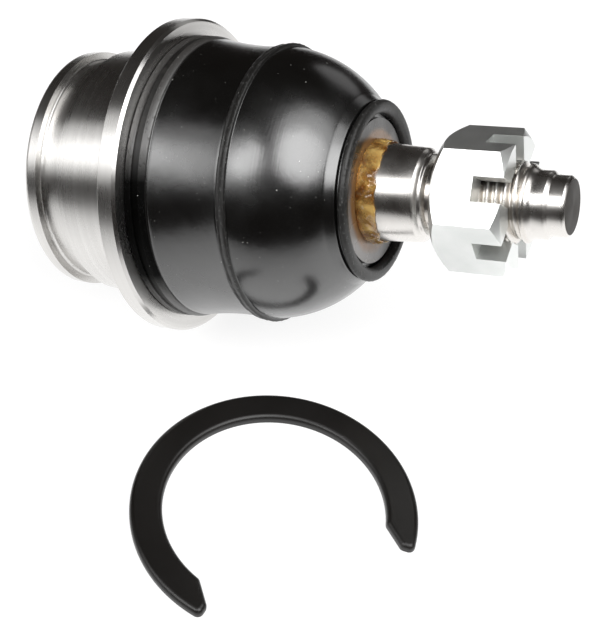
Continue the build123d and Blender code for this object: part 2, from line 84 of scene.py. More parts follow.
camera_data = bpy.data.cameras.new("studio_camera")
camera = bpy.data.objects.new("studio_camera", camera_data)
bpy.context.scene.collection.objects.link(camera)
backward = CAMERA_RIGHT.cross(CAMERA_UP).normalized()
up = backward.cross(CAMERA_RIGHT)
turn = Matrix((CAMERA_RIGHT, up, backward)).transposed().to_4x4()
camera.matrix_world = Matrix.Translation(CAMERA_PLACE) @ turn
camera_data.sensor_width = SENSOR
camera_data.lens = FOCAL_PIXELS * SENSOR / FRAME_HEIGHT_PIXELS
camera_data.clip_start = 0.005
camera_data.clip_end = 20
bpy.context.scene.camera = camera
bpy.context.scene.view_settings.view_transform = "Standard"
print("lens", round(camera_data.lens, 1), "mm")

# %% [markdown]
# Polished steel and black rubber show the room more than they show themselves, so the lamps are fitted to
# the reflections in the photograph: one at the left, one at the front, a larger one high at the right, a
# white table and a dark room. The boot's skirt and its dome don't agree on one lamp for the left and the
# front, so each got its own. Each softbox is two ellipses, a wide dim cloth and a brighter middle.

# %% Lamps and world
AIM_HEIGHT = 0.03
ROOM_IN_REFLECTIONS = (0.022, 0.019, 0.017, 1)
ROOM_LIGHT = (0.10, 0.095, 0.09, 1)


def add_softbox(name, azimuth, elevation, distance, width, height, radiance):
    """An area lamp that looks at the joint from a direction in degrees."""
    a, e = math.radians(azimuth), math.radians(elevation)
    direction = Vector((math.cos(e) * math.cos(a), math.cos(e) * math.sin(a), math.sin(e)))
    data = bpy.data.lights.new(name, "AREA")
    data.shape = "ELLIPSE"
    data.size = width
    data.size_y = height
    data.energy = radiance * math.pi * width * height * math.pi / 4
    lamp = bpy.data.objects.new(name, data)
    bpy.context.scene.collection.objects.link(lamp)
    lamp.location = direction * distance + Vector((0, 0, AIM_HEIGHT))
    lamp.rotation_euler = direction.to_track_quat("Z", "Y").to_euler()
    lamp.visible_camera = False
    return lamp


# name, azimuth, elevation, distance, width, height, radiance
SOFTBOXES = (
    ("left_cloth", -141, 34, 0.8, 0.72, 0.66, 1.0),
    ("left_middle", -137, 34, 0.79, 0.36, 0.38, 2.0),
    ("front_cloth", -113, 51, 0.8, 0.50, 0.62, 1.2),
    ("front_middle", -112, 52, 0.79, 0.32, 0.42, 4.2),
    ("high_right_cloth", -4, 65, 0.8, 0.98, 0.74, 2.4),
    ("high_right_middle", -24, 58, 0.79, 0.62, 0.64, 3.4),
    ("dim_board_behind", 86, 14, 0.8, 0.32, 0.28, 0.5),
)
for softbox in SOFTBOXES:
    add_softbox(*softbox)

world = bpy.data.worlds.new("studio")
bpy.context.scene.world = world
world.use_nodes = True
tree = world.node_tree
tree.nodes.clear()
path = tree.nodes.new("ShaderNodeLightPath")
reflected = tree.nodes.new("ShaderNodeMix")
reflected.data_type = "RGBA"
reflected.inputs["A"].default_value = ROOM_LIGHT
reflected.inputs["B"].default_value = ROOM_IN_REFLECTIONS
room = tree.nodes.new("ShaderNodeBackground")
backdrop = tree.nodes.new("ShaderNodeBackground")
backdrop.inputs["Color"].default_value = (1, 1, 1, 1)
choose = tree.nodes.new("ShaderNodeMixShader")
output = tree.nodes.new("ShaderNodeOutputWorld")
tree.links.new(path.outputs["Is Glossy Ray"], reflected.inputs["Factor"])
tree.links.new(reflected.outputs["Result"], room.inputs["Color"])
tree.links.new(path.outputs["Is Camera Ray"], choose.inputs["Fac"])
tree.links.new(room.outputs[0], choose.inputs[1])
tree.links.new(backdrop.outputs[0], choose.inputs[2])
tree.links.new(choose.outputs[0], output.inputs["Surface"])
print("three softboxes, each with a brighter middle, and a dim room")

# %% [markdown]
# The table is white to the camera and in reflections, and an ordinary matt white for the light that it
# throws back. The white seen by the camera is part glow and part lit surface, so that the soft shadows
# under the joint stay. In reflections the glow fades towards the table's front edge.

# %% Table
TABLE_WIDTH = 0.8
TABLE_DEPTH = 0.37
TABLE_BACK_SHIFT = 0.02
TABLE_FRONT = TABLE_BACK_SHIFT - TABLE_DEPTH / 2
FULL_GLOW_FROM = -0.025
GLOW_AT_FRONT = 0.05
FULL_GLOW = 1.1
GLOW_TO_CAMERA = 0.86
SHADOW_CATCHING_WHITE = (0.22, 0.22, 0.22, 1)
MATT_WHITE = (0.8, 0.8, 0.8, 1)
bpy.ops.object.select_all(action="DESELECT")
bpy.ops.mesh.primitive_plane_add(size=1)
table = bpy.context.object
table.name = "table"
bpy.ops.object.mode_set(mode="EDIT")
bpy.ops.transform.resize(value=(TABLE_WIDTH, TABLE_DEPTH, 1))
bpy.ops.transform.translate(value=(0, TABLE_BACK_SHIFT, 0))
bpy.ops.object.mode_set(mode="OBJECT")
material = bpy.data.materials.new("white_table")
material.use_nodes = True
tree = material.node_tree
tree.nodes.clear()
path = tree.nodes.new("ShaderNodeLightPath")
seen = tree.nodes.new("ShaderNodeMath")
seen.operation = "MAXIMUM"
seen_at_all = tree.nodes.new("ShaderNodeMath")
seen_at_all.operation = "MAXIMUM"
place = tree.nodes.new("ShaderNodeTexCoord")
depth = tree.nodes.new("ShaderNodeSeparateXYZ")
fading = tree.nodes.new("ShaderNodeMapRange")
fading.inputs["From Min"].default_value = TABLE_FRONT
fading.inputs["From Max"].default_value = FULL_GLOW_FROM
fading.inputs["To Min"].default_value = GLOW_AT_FRONT
fading.inputs["To Max"].default_value = FULL_GLOW
strength = tree.nodes.new("ShaderNodeMix")
strength.inputs["A"].default_value = GLOW_TO_CAMERA
glow = tree.nodes.new("ShaderNodeEmission")
lit = tree.nodes.new("ShaderNodeBsdfDiffuse")
lit.inputs["Color"].default_value = SHADOW_CATCHING_WHITE
matt = tree.nodes.new("ShaderNodeBsdfDiffuse")
matt.inputs["Color"].default_value = MATT_WHITE
both = tree.nodes.new("ShaderNodeAddShader")
choose = tree.nodes.new("ShaderNodeMixShader")
output = tree.nodes.new("ShaderNodeOutputMaterial")
tree.links.new(path.outputs["Is Camera Ray"], seen.inputs[0])
tree.links.new(path.outputs["Is Glossy Ray"], seen.inputs[1])
tree.links.new(place.outputs["Object"], depth.inputs[0])
tree.links.new(depth.outputs["Y"], fading.inputs["Value"])
tree.links.new(path.outputs["Is Glossy Ray"], strength.inputs["Factor"])
tree.links.new(fading.outputs["Result"], strength.inputs["B"])
tree.links.new(strength.outputs["Result"], glow.inputs["Strength"])
tree.links.new(seen.outputs[0], seen_at_all.inputs[0])
tree.links.new(path.outputs["Is Transmission Ray"], seen_at_all.inputs[1])
tree.links.new(glow.outputs[0], both.inputs[0])
tree.links.new(lit.outputs[0], both.inputs[1])
tree.links.new(seen_at_all.outputs[0], choose.inputs["Fac"])
tree.links.new(matt.outputs[0], choose.inputs[1])
tree.links.new(both.outputs[0], choose.inputs[2])
tree.links.new(choose.outputs[0], output.inputs["Surface"])
table.data.materials.append(material)
print("table", TABLE_WIDTH, "by", TABLE_DEPTH, "m")

# %% [markdown]
# Every finish is a Principled shader with a few nodes in front of it. The small helpers below add a node
# and join sockets. The joint's finishes read coordinates on its own axis: a Mapping node of the Texture
# kind takes a point of the frame back to the upright drawing, so that lathe marks run round the axis.

# %% Helpers for finishes


class Finish:
    """A material with its Principled shader and short ways to add nodes."""

    def __init__(self, name, colour, roughness, metallic=0.0, ior=1.5):
        self.material = bpy.data.materials.new(name)
        self.material.use_nodes = True
        self.tree = self.material.node_tree
        self.shader = self.tree.nodes["Principled BSDF"]
        self.shader.inputs["Base Color"].default_value = (*colour, 1)
        self.shader.inputs["Roughness"].default_value = roughness
        self.shader.inputs["Metallic"].default_value = metallic
        self.shader.inputs["IOR"].default_value = ior

    def node(self, kind, **settings):
        made = self.tree.nodes.new(kind)
        for key, value in settings.items():
            setattr(made, key, value)
        return made

    def feed(self, socket, value):
        """Link a socket to an output, or set it to a plain value."""
        if isinstance(value, bpy.types.NodeSocket):
            self.tree.links.new(value, socket)
        else:
            socket.default_value = value

    def own_axis(self):
        """Coordinates of the upright drawing, in metres."""
        place = self.node("ShaderNodeTexCoord").outputs["Object"]
        mapping = self.node("ShaderNodeMapping", vector_type="TEXTURE")
        mapping.inputs["Location"].default_value = BALL_CENTRE
        mapping.inputs["Rotation"].default_value = (0, TURN_DOWN, 0)
        self.feed(mapping.inputs["Vector"], place)
        return mapping.outputs["Vector"]

    def world_axis(self):
        """Coordinates of the frame, in metres."""
        return self.node("ShaderNodeTexCoord").outputs["Object"]

    def math(self, operation, a, b=0.0):
        made = self.node("ShaderNodeMath", operation=operation)
        self.feed(made.inputs[0], a)
        self.feed(made.inputs[1], b)
        return made.outputs[0]

    def noise(self, vector, scale, detail=3.0, roughness=0.5, distortion=0.0):
        made = self.node("ShaderNodeTexNoise")
        self.feed(made.inputs["Vector"], vector)
        made.inputs["Scale"].default_value = scale
        made.inputs["Detail"].default_value = detail
        made.inputs["Roughness"].default_value = roughness
        made.inputs["Distortion"].default_value = distortion
        return made.outputs["Fac"]

    def ramp(self, value, low, high, at_low=0.0, at_high=1.0):
        """A clamped straight line between two values."""
        made = self.node("ShaderNodeMapRange", clamp=True)
        self.feed(made.inputs["Value"], value)
        made.inputs["From Min"].default_value = low
        made.inputs["From Max"].default_value = high
        made.inputs["To Min"].default_value = at_low
        made.inputs["To Max"].default_value = at_high
        return made.outputs["Result"]

    def mix(self, amount, a, b):
        """A colour between two colours."""
        made = self.node("ShaderNodeMix", data_type="RGBA")
        self.feed(made.inputs["Factor"], amount)
        for socket, colour in ((made.inputs["A"], a), (made.inputs["B"], b)):
            self.feed(socket, colour if isinstance(colour, bpy.types.NodeSocket) else (*colour, 1))
        return made.outputs["Result"]

    def radius_and_height(self, vector):
        """Distance from the axis and height along it, as two values."""
        parts = self.node("ShaderNodeSeparateXYZ")
        self.feed(parts.inputs[0], vector)
        flat = self.node("ShaderNodeCombineXYZ")
        self.feed(flat.inputs[0], parts.outputs[0])
        self.feed(flat.inputs[1], parts.outputs[1])
        length = self.node("ShaderNodeVectorMath", operation="LENGTH")
        self.feed(length.inputs[0], flat.outputs[0])
        return length.outputs["Value"], parts.outputs[2]

    def rings(self, vector, scale, detail=4.0, roughness=0.6):
        """Noise that is the same all the way round the axis, as a lathe tool leaves it."""
        radius, height = self.radius_and_height(vector)
        pair = self.node("ShaderNodeCombineXYZ")
        self.feed(pair.inputs[0], radius)
        self.feed(pair.inputs[1], height)
        return self.noise(pair.outputs[0], scale, detail, roughness)

    def brushed(self, amount):
        """Spread reflections across the turning marks, on barrels and on flat faces alike."""
        seen = self.node("ShaderNodeNewGeometry")
        from_ball = self.node("ShaderNodeVectorMath", operation="SUBTRACT")
        self.feed(from_ball.inputs[0], seen.outputs["Position"])
        from_ball.inputs[1].default_value = BALL_CENTRE
        around = self.node("ShaderNodeVectorMath", operation="CROSS_PRODUCT")
        around.inputs[0].default_value = AXIS
        self.feed(around.inputs[1], from_ball.outputs[0])
        across = self.node("ShaderNodeVectorMath", operation="CROSS_PRODUCT")
        self.feed(across.inputs[0], seen.outputs["Normal"])
        self.feed(across.inputs[1], around.outputs[0])
        unit = self.node("ShaderNodeVectorMath", operation="NORMALIZE")
        self.feed(unit.inputs[0], across.outputs[0])
        self.feed(self.shader.inputs["Tangent"], unit.outputs[0])
        self.shader.inputs["Anisotropic"].default_value = amount

    def facing(self, vector, degrees, low, high):
        """One where a point lies to one side of the axis, at an angle round it, else zero."""
        radius, _ = self.radius_and_height(vector)
        side = self.node("ShaderNodeVectorMath", operation="DOT_PRODUCT")
        self.feed(side.inputs[0], vector)
        angle = math.radians(degrees)
        side.inputs[1].default_value = (math.cos(angle), math.sin(angle), 0)
        share = self.math("DIVIDE", side.outputs["Value"], radius)
        return self.ramp(share, math.cos(math.radians(low)), math.cos(math.radians(high)))

    def specks(self, vector, cell, radius, share):
        """Small round dots, one in some of the cells of a Voronoi pattern."""
        made = self.node("ShaderNodeTexVoronoi")
        self.feed(made.inputs["Vector"], vector)
        made.inputs["Scale"].default_value = 1 / cell
        near = self.math("LESS_THAN", made.outputs["Distance"], radius / cell)
        lot = self.node("ShaderNodeSeparateColor")
        self.feed(lot.inputs[0], made.outputs["Color"])
        chosen = self.math("LESS_THAN", lot.outputs[0], share)
        return self.math("MULTIPLY", near, chosen)

    def bump(self, height, distance, strength=1.0):
        made = self.node("ShaderNodeBump")
        made.inputs["Strength"].default_value = strength
        made.inputs["Distance"].default_value = distance
        self.feed(made.inputs["Height"], height)
        self.feed(self.shader.inputs["Normal"], made.outputs["Normal"])

    def set(self, socket, value):
        self.feed(self.shader.inputs[socket], value)


def dress(piece, finish):
    """Give a piece one finish in place of what it came with."""
    piece.data.materials.clear()
    piece.data.materials.append(finish.material)


print("finishes are Principled shaders with nodes in front")

# %% [markdown]
# The housing is turned from steel bar. A lathe leaves fine rings that shift the highlights a little, and
# deeper ones every millimetre or so. Noise that reads only the radius and the height gives rings on
# barrels and on flat faces alike. Larger, softer noise clouds the roughness, as fingers and oil do.

# %% Turned steel
turned_steel = Finish("turned_steel", (0.54, 0.53, 0.515), 0.2, metallic=1.0)
turned_steel.brushed(0.65)
place = turned_steel.own_axis()
fine = turned_steel.rings(place, 5200.0, detail=2.0)
broad = turned_steel.rings(place, 900.0, detail=3.0)
clouds = turned_steel.noise(place, 130.0, detail=4.0)
turned_steel.set("Roughness", turned_steel.ramp(
    turned_steel.math("ADD", clouds, turned_steel.math("MULTIPLY", fine, 0.5)), 0.4, 1.1, 0.24, 0.31))
tone = turned_steel.ramp(broad, 0.3, 0.7)
turned_steel.set("Base Color", turned_steel.mix(tone, (0.57, 0.56, 0.545), (0.64, 0.63, 0.615)))
turned_steel.bump(turned_steel.math("ADD", fine, turned_steel.math("MULTIPLY", broad, 1.4)), 0.0000018)
dress(NODES["housing"], turned_steel)

# %% [markdown]
# The cover plate and the disc spring are pressed from sheet, so they have the matt, slightly mottled skin
# of rolled steel and no rings.

# %% Pressed steel
pressed_steel = Finish("pressed_steel", (0.5, 0.5, 0.49), 0.42, metallic=1.0)
place = pressed_steel.own_axis()
mottle = pressed_steel.noise(place, 420.0, detail=5.0)
pressed_steel.set("Roughness", pressed_steel.ramp(mottle, 0.3, 0.7, 0.34, 0.5))
pressed_steel.set("Base Color", pressed_steel.mix(
    pressed_steel.noise(place, 90.0), (0.42, 0.41, 0.4), (0.56, 0.56, 0.55)))
pressed_steel.bump(mottle, 0.00001)
dress(NODES["cover_plate"], pressed_steel)
dress(NODES["preload_spring"], pressed_steel)
dress(NODES["boot_neck_ring"], pressed_steel)

# %% [markdown]
# The bearings are moulded from a pale engineering plastic. They are hidden in the housing, but they show
# when the model is taken apart, so they get a faint mould texture and a warm ivory colour.

# %% Bearing plastic
bearing_plastic = Finish("bearing_plastic", (0.85, 0.83, 0.76), 0.45)
place = bearing_plastic.own_axis()
grain = bearing_plastic.noise(place, 1500.0, detail=3.0)
bearing_plastic.set("Base Color", bearing_plastic.mix(
    bearing_plastic.noise(place, 110.0), (0.8, 0.78, 0.7), (0.87, 0.85, 0.79)))
bearing_plastic.bump(grain, 0.000008)
dress(NODES["upper_bearing"], bearing_plastic)
dress(NODES["lower_bearing"], bearing_plastic)

# %% [markdown]
# Pieces that turn about the axis start as a single vertex, which is extruded along the outline and then
# spun. That is how a lathe thinks too: one profile, one full turn. Sharp edges get a narrow Bevel
# modifier afterwards, because no real edge is perfectly sharp.

# %% Helpers for turned pieces


def arc(start, middle, end, count):
    """Points on the circle through three points, from the first to the last."""
    (ax, ay), (bx, by), (cx, cy) = start, middle, end
    d = 2 * (ax * (by - cy) + bx * (cy - ay) + cx * (ay - by))
    a2, b2, c2 = ax * ax + ay * ay, bx * bx + by * by, cx * cx + cy * cy
    ux = (a2 * (by - cy) + b2 * (cy - ay) + c2 * (ay - by)) / d
    uy = (a2 * (cx - bx) + b2 * (ax - cx) + c2 * (bx - ax)) / d
    radius = math.hypot(ax - ux, ay - uy)
    first = math.atan2(ay - uy, ax - ux)
    sweep_middle = (math.atan2(by - uy, bx - ux) - first) % (2 * math.pi)
    sweep = (math.atan2(cy - uy, cx - ux) - first) % (2 * math.pi)
    if sweep_middle > sweep:
        sweep -= 2 * math.pi
    points = []
    for i in range(count + 1):
        a = first + sweep * i / count
        points.append((ux + radius * math.cos(a), uy + radius * math.sin(a)))
    return points


def lay_down(piece):
    """Move an upright piece to its place in the frame, and leave the object at the origin."""
    piece.matrix_world = LAY_DOWN
    bpy.ops.object.select_all(action="DESELECT")
    piece.select_set(True)
    bpy.context.view_layer.objects.active = piece
    bpy.ops.object.transform_apply(location=True, rotation=True, scale=True)


def draw_outline(name, outline):
    """A new object whose vertices follow an outline of (radius, height) points, in edit mode."""
    bpy.ops.object.select_all(action="DESELECT")
    bpy.ops.mesh.primitive_plane_add(size=MM)
    piece = bpy.context.object
    piece.name = name
    bpy.ops.object.mode_set(mode="EDIT")
    bpy.ops.mesh.merge(type="CENTER")
    bpy.ops.transform.translate(value=(outline[0][0] * MM, 0, outline[0][1] * MM))
    for (r0, z0), (r1, z1) in zip(outline, outline[1:]):
        step = ((r1 - r0) * MM, 0, (z1 - z0) * MM)
        bpy.ops.mesh.extrude_vertices_move(TRANSFORM_OT_translate={"value": step})
    bpy.ops.mesh.select_all(action="SELECT")
    return piece


def turned(name, outline, steps=192):
    """Spin an outline once round the axis and close the surface."""
    piece = draw_outline(name, outline)
    bpy.ops.mesh.spin(steps=steps, angle=2 * math.pi, center=(0, 0, 0), axis=(0, 0, 1))
    bpy.ops.mesh.select_all(action="SELECT")
    bpy.ops.mesh.remove_doubles(threshold=0.000002)
    bpy.ops.mesh.normals_make_consistent(inside=False)
    bpy.ops.object.mode_set(mode="OBJECT")
    return piece


def apply_modifiers(piece):
    bpy.context.view_layer.objects.active = piece
    for modifier in list(piece.modifiers):
        bpy.ops.object.modifier_apply(modifier=modifier.name)


def soften(piece, width, segments=2, angle=28, keep_flats=False):
    """Round the edges that are sharper than an angle, and keep large flats evenly lit if wanted."""
    modifier = piece.modifiers.new("soft_edges", "BEVEL")
    modifier.width = width * MM
    modifier.segments = segments
    modifier.limit_method = "ANGLE"
    modifier.angle_limit = math.radians(angle)
    modifier.harden_normals = keep_flats
    apply_modifiers(piece)


def smooth(piece, angle=40):
    bpy.ops.object.select_all(action="DESELECT")
    piece.select_set(True)
    bpy.context.view_layer.objects.active = piece
    bpy.ops.object.shade_smooth_by_angle(angle=math.radians(angle))


def report(piece):
    print(piece.name, len(piece.data.polygons), "faces")


print("outlines are extruded from one vertex and spun")

# %% [markdown]
# The boot is one rubber moulding, but it is modelled as two pieces: the skirt from the bead up to the
# parting ridge, and the dome from there to its small end. They meet in the corner under the parting ridge,
# where the seam doesn't show. The bead has two ribs with the clamp ring's groove between them, and a ledge
# that faces the flange.

# %% Boot skirt
NECK_R = 23.8
BEAD_R = 25.9
GROOVE_R = 24.35
SKIRT_TOP = (24.5, 23.0)
SKIRT_TOP_INSIDE = (22.5, 23.0)
skirt_outline = [
    (NECK_R, 5.8),
    (BEAD_R, 5.8),
    (BEAD_R, 7.05),
    (GROOVE_R, 7.05),
    (GROOVE_R, 8.35),
    (25.86, 8.36),
    (25.84, 8.55),
    (25.45, 9.45),
    (25.3, 9.6),
    (25.05, 9.66),
    (25.05, 9.95),
]
skirt_outline += arc((25.4, 9.98), (24.4, 19.35), SKIRT_TOP, 24)
skirt_outline += [SKIRT_TOP_INSIDE, (22.5, 13.1), (NECK_R, 11.4), (NECK_R, 5.8)]
skirt = turned("boot_skirt", skirt_outline, steps=224)
soften(skirt, 0.14)
lay_down(skirt)
smooth(skirt)
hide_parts("dust_boot")
report(skirt)

# %% [markdown]
# The dome starts with the parting ridge, a thin band of flash that the mould leaves. Its edge is ragged,
# so the ridge's vertices are pushed in and out a little by smooth noise. Towards the stud the dome ends in
# a notch and a rounded lip, and inside the lip is the seat of the flat washer.

# %% Boot dome
RIDGE_TOP_Z = 24.7
SEAT_Z = 40.25
dome_outline = [
    SKIRT_TOP,
    (24.92, 23.06),
    (24.96, 23.35),
    (24.88, 23.6),
    (25.02, 24.0),
    (25.09, 24.35),
    (25.05, 24.56),
    (24.8, 24.66),
    (24.46, RIDGE_TOP_Z),
]
dome_outline += arc((24.45, 24.8), (22.55, 31.4), (16.6, 39.3), 40)
dome_outline += [(15.95, 40.4), (15.75, 40.68), (15.1, 40.75), (15.08, 41.05)]
dome_outline += arc((15.3, 41.08), (15.98, 41.8), (15.3, 42.45), 10)
dome_outline += [(14.9, 42.58), (14.2, 42.5), (13.8, 42.2), (13.6, 41.8)]
dome_outline += [(13.58, SEAT_Z), (9.04, SEAT_Z), (9.19, 37.2)]
dome_outline += arc((14.6, 37.2), (20.55, 30.4), SKIRT_TOP_INSIDE, 18)
dome_outline += [SKIRT_TOP]
dome = turned("boot_dome", dome_outline, steps=288)
soften(dome, 0.1)
for vertex in dome.data.vertices:
    x, y, z = (c / MM for c in vertex.co)
    radius = math.hypot(x, y)
    if radius > 24.7 and z < RIDGE_TOP_Z:
        coarse = noise.noise(Vector((x, y, z * 3)) * 0.9)
        crumbs = noise.noise(Vector((x, y, z * 2)) * 3.1)
        push = 0.08 * coarse + 0.10 * max(0.0, crumbs) - 0.03
        vertex.co.x *= 1 + push / radius
        vertex.co.y *= 1 + push / radius
    elif z > 41.1 and radius > 13.9:
        push = 0.06 * noise.noise(Vector((x, y, z)) * 1.7) + 0.03 * noise.noise(Vector((x, y, z)) * 4.9)
        vertex.co.x *= 1 + push / radius
        vertex.co.y *= 1 + push / radius
lay_down(dome)
smooth(dome)
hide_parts("dust_boot")
report(dome)

# %% [markdown]
# The rubber is nearly black, so almost all that shows is reflection; its index of refraction is set higher
# than plain rubber's to match the brightness. Noise in the roughness breaks the softboxes up into cloudy
# patches, dust and short scratches are paler, and the parting ridge, the lip and the ribs are duller and
# greyer. Low at the front the photograph shows black ribs. The cause isn't known, so a mask at a fixed angle
# round the axis darkens them there.

# %% Rubber
BLACK_SIDE = (256, 34, 20)
rubber = Finish("oily_rubber", (0.0015, 0.0015, 0.0013), 0.2, ior=2.0)
place = rubber.own_axis()
_, height = rubber.radius_and_height(place)
smudge = rubber.noise(place, 95.0, detail=4.0)
scuff = rubber.rings(place, 2600.0, detail=3.0)
worn_ridge = rubber.math("MULTIPLY",
                         rubber.ramp(height, 0.02300, 0.02310), rubber.ramp(height, 0.02476, 0.02464))
worn_lip = rubber.ramp(height, 0.04100, 0.04115)
worn_ribs = rubber.ramp(height, 0.00968, 0.00955)
worn = rubber.math("MAXIMUM", rubber.math("MAXIMUM", worn_ridge, worn_lip), worn_ribs)
dust = rubber.math("MAXIMUM", rubber.specks(place, 0.0026, 0.00011, 0.6),
                   rubber.specks(place, 0.0011, 0.00005, 0.5))
scratches = None
for tilt, share in ((0.5, 0.22), (-0.7, 0.16), (1.4, 0.14)):
    slant = rubber.node("ShaderNodeMapping")
    slant.inputs["Rotation"].default_value = (tilt, tilt * 0.6, 0.4)
    slant.inputs["Scale"].default_value = (1, 1, 0.07)
    rubber.feed(slant.inputs["Vector"], place)
    marks = rubber.specks(slant.outputs["Vector"], 0.0014, 0.00004, share)
    scratches = marks if scratches is None else rubber.math("MAXIMUM", scratches, marks)
grit = rubber.ramp(rubber.noise(place, 1900.0, detail=2.0), 0.60, 0.72)
pale = rubber.math("MULTIPLY", worn, grit)
ground = rubber.mix(worn, (0.0015, 0.0015, 0.0013), (0.007, 0.0066, 0.006))
ground = rubber.mix(rubber.math("MULTIPLY", pale, 0.35), ground, (0.12, 0.12, 0.115))
blackened = rubber.math("MULTIPLY", worn_ribs, rubber.facing(place, *BLACK_SIDE))
ground = rubber.mix(worn_ribs, ground, (0.022, 0.020, 0.018))
ground = rubber.mix(blackened, ground, (0.001, 0.001, 0.0009))
rubber.set("Base Color", rubber.mix(rubber.math("MAXIMUM", dust, scratches), ground, (0.30, 0.30, 0.285)))
clean_roughness = rubber.ramp(smudge, 0.3, 0.7, 0.17, 0.30)
rubber.set("Roughness", rubber.math("ADD", clean_roughness, rubber.math("MULTIPLY", worn, 0.22)))
dulled = rubber.math("ADD", rubber.ramp(worn, 0, 1, 0.5, 0.2), rubber.math("MULTIPLY", worn_ribs, 0.3))
rubber.set("Specular IOR Level", rubber.math("SUBTRACT", dulled, rubber.math("MULTIPLY", blackened, 0.48)))
relief = rubber.math("ADD", rubber.math("MULTIPLY", scuff, 0.5),
                     rubber.math("MULTIPLY", rubber.math("MULTIPLY", worn, grit), 4.0))
relief = rubber.math("ADD", relief, rubber.math("MULTIPLY", smudge, 6.0))
rubber.bump(relief, 0.00002)
dress(skirt, rubber)
dress(dome, rubber)

# %% [markdown]
# The clamp ring in the bead's groove is flat spring steel with a black coat, rubbed a little grey. The same
# mask as on the ribs darkens it low at the front.

# %% Clamp ring finish
black_coat = Finish("black_coat", (0.004, 0.004, 0.0036), 0.5, ior=1.45)
place = black_coat.own_axis()
wear = black_coat.ramp(black_coat.noise(place, 700.0, detail=4.0), 0.5, 0.75)
blackened = black_coat.facing(place, *BLACK_SIDE)
coat = black_coat.mix(wear, (0.008, 0.0075, 0.007), (0.024, 0.022, 0.020))
black_coat.set("Base Color", black_coat.mix(blackened, coat, (0.0006, 0.0006, 0.0005)))
black_coat.set("Specular IOR Level", black_coat.ramp(blackened, 0, 1, 0.5, 0.05))
black_coat.set("Roughness", black_coat.ramp(wear, 0, 1, 0.4, 0.55))
black_coat.bump(black_coat.rings(place, 2200.0), 0.00001)
dress(NODES["boot_clamp_ring"], black_coat)

# %% [markdown]
# The stud is drawn again here, because the CAD's thread is a plain cylinder: the core has the thread's root
# radius, and one triangular tooth is wound round it with the Screw modifier. The tooth fades out over the
# last part of a turn at both ends.

# %% Stud core
THREAD_START_Z = 52.7
THREAD_END_Z = 69.9
THREAD_R = 7.0
THREAD_ROOT_R = 6.1
PITCH = 1.5
THREAD_PHASE = 0.6
BALL_R = 13.0
BALL_FLAT_Z = -12.2
NECK_RADIUS = 6.5
ball_foot = (math.sqrt(BALL_R**2 - BALL_FLAT_Z**2), BALL_FLAT_Z)
ball_top = (NECK_RADIUS, math.sqrt(BALL_R**2 - NECK_RADIUS**2))
stud_outline = [(0, BALL_FLAT_Z)]
stud_outline += arc(ball_foot, (BALL_R, 0), ball_top, 30)
stud_outline += [(NECK_RADIUS, 18.0), (6.75, 20.5), (7.7, 23.5), (8.9, 25.8), (9.405, 27.0)]
stud_outline += [(8.2, 51.0), (8.12, 51.18), (7.55, 51.75), (7.34, 51.9), (7.3, 52.05), (7.28, 52.4)]
stud_outline += [(7.1, 52.56), (THREAD_ROOT_R, 52.8), (THREAD_ROOT_R, 69.2), (6.75, 69.6), (6.55, 69.95)]
stud_outline += arc((6.4, 70.05), (6.0, 70.6), (5.8, 71.4), 8)
stud_outline += [(5.8, 73.1), (5.72, 73.3), (5.3, 73.65), (5.2, 73.8), (5.2, 76.25)]
stud_outline += [(4.7, 76.75), (0, 76.75)]
stud = turned("stud_turned", stud_outline, steps=160)
soften(stud, 0.12, angle=32)
report(stud)

# %% [markdown]
# The tooth's outline is a small closed loop beside the core. Its inner edge lies inside the core, so no
# gap can show between them.

# %% Thread
tooth = [
    (THREAD_ROOT_R - 0.35, -0.66),
    (THREAD_ROOT_R + 0.02, -0.60),
    (THREAD_R - 0.06, -0.13),
    (THREAD_R, 0.0),
    (THREAD_R - 0.06, 0.13),
    (THREAD_ROOT_R + 0.02, 0.60),
    (THREAD_ROOT_R - 0.35, 0.66),
    (THREAD_ROOT_R - 0.35, -0.66),
]
thread = draw_outline("thread_tooth", tooth)
bpy.ops.mesh.remove_doubles(threshold=0.000002)
bpy.ops.object.mode_set(mode="OBJECT")
TOOTH_WIDTH = 1.32
TURNS = int((THREAD_END_Z - THREAD_START_Z - TOOTH_WIDTH) / PITCH)
STEPS_PER_TURN = 72
winding = thread.modifiers.new("winding", "SCREW")
winding.angle = 2 * math.pi
winding.screw_offset = PITCH * MM
winding.iterations = TURNS
winding.steps = STEPS_PER_TURN
winding.render_steps = STEPS_PER_TURN
winding.use_merge_vertices = True
apply_modifiers(thread)
first_tooth_z = (THREAD_START_Z + THREAD_END_Z + THREAD_PHASE - TURNS * PITCH) / 2 * MM
FADE_TURNS = 0.6
for vertex in thread.data.vertices:
    part_turn = math.atan2(vertex.co.y, vertex.co.x) / (2 * math.pi) % 1.0
    wound = round(vertex.co.z / (PITCH * MM) - part_turn) + part_turn
    share = min(1.0, max(0.0, min(wound, TURNS - wound) / FADE_TURNS))
    radius = math.hypot(vertex.co.x, vertex.co.y)
    outside = max(0.0, radius - THREAD_ROOT_R * MM)
    wanted = radius - outside * (1 - share * share * (3 - 2 * share))
    vertex.co.x *= wanted / radius
    vertex.co.y *= wanted / radius
    vertex.co.z += first_tooth_z
bpy.ops.object.mode_set(mode="EDIT")
bpy.ops.mesh.select_all(action="SELECT")
bpy.ops.mesh.fill_holes(sides=0)
bpy.ops.mesh.select_all(action="SELECT")
bpy.ops.mesh.normals_make_consistent(inside=False)
bpy.ops.object.mode_set(mode="OBJECT")
report(thread)
